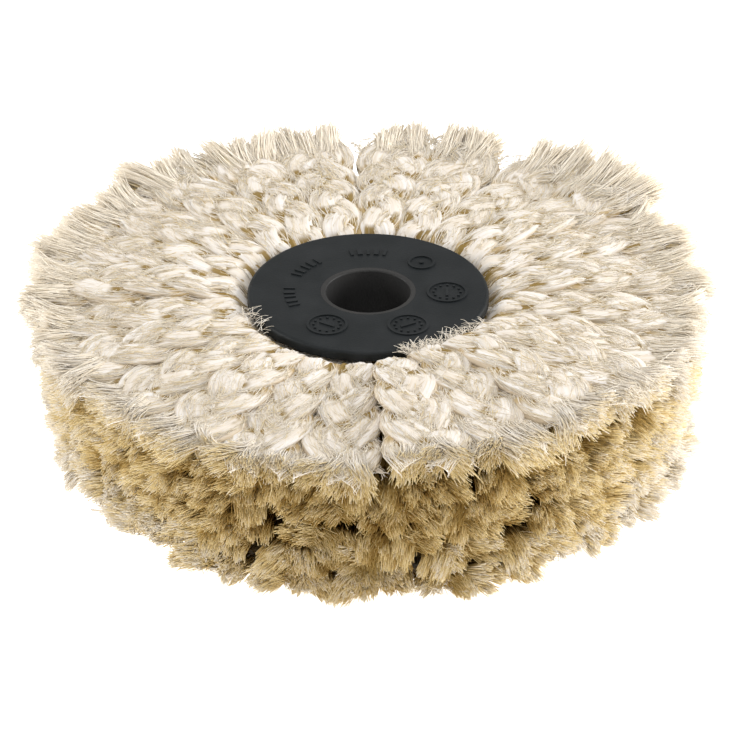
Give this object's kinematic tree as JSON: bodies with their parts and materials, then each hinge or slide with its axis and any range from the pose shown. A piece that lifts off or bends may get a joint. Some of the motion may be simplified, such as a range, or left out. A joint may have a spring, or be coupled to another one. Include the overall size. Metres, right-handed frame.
{
  "type": "sisal polishing wheel",
  "caption": "Flat round polishing wheel: plaited sisal cords fold over wire rings and fan out from a black flanged hub with a plain central arbor bore.",
  "frame": {"origin": "middle of the arbor bore, halfway through the hub's width", "axes": "+Z along the bore axis towards the front flange, which carries the moulded marks; X and Y lie in the wheel's plane"},
  "size_m": [0.1992, 0.1996, 0.0504],
  "materials": {
    "sisal": "coarse undyed sisal fibre, plaited in three strands, frayed at the rim",
    "hub": "matte black moulded, slightly rubbery, with moulded marks",
    "wire": "plain drawn steel wire"
  },
  "bodies": {
    "root": {"front_flange": "hub", "rear_flange": "hub", "core_sleeve": "hub", "retaining_ring_rear": "wire", "retaining_ring_middle": "wire", "retaining_ring_front": "wire", "cord_pair_rear_01": "sisal", "cord_pair_rear_02": "sisal", "cord_pair_rear_03": "sisal", "cord_pair_rear_04": "sisal", "cord_pair_rear_05": "sisal", "cord_pair_rear_06": "sisal", "cord_pair_rear_07": "sisal", "cord_pair_rear_08": "sisal", "cord_pair_rear_09": "sisal", "cord_pair_rear_10": "sisal", "cord_pair_rear_11": "sisal", "cord_pair_rear_12": "sisal", "cord_pair_middle_01": "sisal", "cord_pair_middle_02": "sisal", "cord_pair_middle_03": "sisal", "cord_pair_middle_04": "sisal", "cord_pair_middle_05": "sisal", "cord_pair_middle_06": "sisal", "cord_pair_middle_07": "sisal", "cord_pair_middle_08": "sisal", "cord_pair_middle_09": "sisal", "cord_pair_middle_10": "sisal", "cord_pair_middle_11": "sisal", "cord_pair_middle_12": "sisal", "cord_pair_front_01": "sisal", "cord_pair_front_02": "sisal", "cord_pair_front_03": "sisal", "cord_pair_front_04": "sisal", "cord_pair_front_05": "sisal", "cord_pair_front_06": "sisal", "cord_pair_front_07": "sisal", "cord_pair_front_08": "sisal", "cord_pair_front_09": "sisal", "cord_pair_front_10": "sisal", "cord_pair_front_11": "sisal", "cord_pair_front_12": "sisal"}
  },
  "joints": []
}
